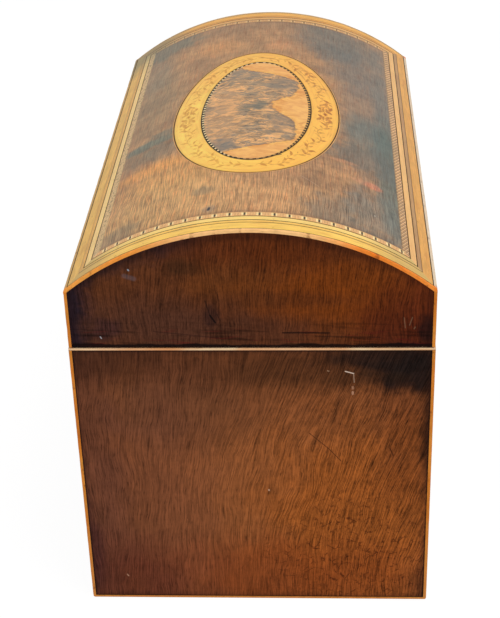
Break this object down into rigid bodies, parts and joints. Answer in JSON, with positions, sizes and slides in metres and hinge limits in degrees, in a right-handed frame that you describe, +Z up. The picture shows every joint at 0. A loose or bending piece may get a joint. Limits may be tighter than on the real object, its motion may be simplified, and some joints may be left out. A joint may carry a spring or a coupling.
{
  "type": "antique tea caddy",
  "caption": "Dome-topped wooden tea caddy with inlaid banding, a marquetry oval, stop hinges, a box lock and lidded tea compartments.",
  "frame": {"origin": "middle of the underside, on the surface that the caddy stands on", "axes": "+Z up, length along X, lock at the front facing -Y, hinges at the back facing +Y"},
  "size_m": [0.284, 0.1683, 0.198],
  "materials": {
    "carcass_wood": "sawn mahogany board",
    "side_veneer": "polished mahogany veneer",
    "end_veneer": "polished mahogany veneer",
    "rim_wood": "polished cross-grain facing",
    "boxwood": "polished boxwood stringing",
    "satinwood": "polished satinwood",
    "tulipwood": "polished crossbanding",
    "chequer": "parquetry banding",
    "ebony": "dyed black line",
    "field_veneer": "polished faded veneer",
    "burr": "polished burr veneer",
    "lining_wood": "plain lining board",
    "inner_lid_wood": "polished inner lid",
    "foil": "dull soft metal foil",
    "lid_paper": "laid paper",
    "bone": "polished bone",
    "brass": "aged brass",
    "pin_steel": "filed steel",
    "baize": "green baize"
  },
  "bodies": {
    "carcass": {"base_baize": "baize", "base_board": "carcass_wood", "front_board": "carcass_wood", "back_board": "carcass_wood", "end_board_left": "carcass_wood", "end_board_right": "carcass_wood", "front_veneer": "side_veneer", "back_veneer": "side_veneer", "end_veneer_left": "end_veneer", "end_veneer_right": "end_veneer", "corner_stringing": "boxwood", "base_stringing": "boxwood", "rim_stringing": "boxwood", "rim_facing": "rim_wood", "escutcheon": "bone", "partition": "lining_wood", "lining_left": "lining_wood", "lining_right": "lining_wood", "foil_left": "foil", "foil_right": "foil", "hinge_left_body_leaf": "brass", "hinge_left_pin": "pin_steel", "hinge_right_body_leaf": "brass", "hinge_right_pin": "pin_steel", "lock_case": "brass"},
    "lid": {"lid_rail_front": "carcass_wood", "lid_rail_back": "carcass_wood", "lid_end_left": "carcass_wood", "lid_end_right": "carcass_wood", "dome_board": "carcass_wood", "lid_front_veneer": "side_veneer", "lid_back_veneer": "side_veneer", "lid_end_veneer_left": "end_veneer", "lid_end_veneer_right": "end_veneer", "lid_rim_facing": "rim_wood", "lid_corner_stringing": "boxwood", "eaves_stringing": "boxwood", "arch_stringing": "boxwood", "gold_banding": "satinwood", "tulipwood_banding": "tulipwood", "boxwood_line": "boxwood", "chequer_banding": "chequer", "ebony_lines": "ebony", "dome_field": "field_veneer", "oval_outer_line": "boxwood", "oval_band": "satinwood", "oval_inner_line": "chequer", "burr_medallion": "burr", "lid_paper": "lid_paper", "hinge_left_lid_leaf": "brass", "hinge_right_lid_leaf": "brass", "link_plate": "brass"},
    "inner_lid_left": {"inner_lid_left": "inner_lid_wood", "knob_left": "bone"},
    "inner_lid_right": {"inner_lid_right": "inner_lid_wood", "knob_right": "bone"},
    "lock_bolt": {"lock_bolt": "pin_steel"}
  },
  "joints": [
    {"name": "lid_hinge", "type": "hinge", "parent": "carcass", "child": "lid", "pos_m": [0, 0.0825, 0.1408], "axis": [-1, 0, 0], "range_deg": [0, 100]},
    {"name": "inner_lid_left_lift", "type": "slide", "parent": "carcass", "child": "inner_lid_left", "axis": [0, 0, 1], "range_m": [0, 0.03]},
    {"name": "inner_lid_right_lift", "type": "slide", "parent": "carcass", "child": "inner_lid_right", "axis": [0, 0, 1], "range_m": [0, 0.03]},
    {"name": "lock_bolt_slide", "type": "slide", "parent": "carcass", "child": "lock_bolt", "axis": [1, 0, 0], "range_m": [0, 0.0032]}
  ]
}
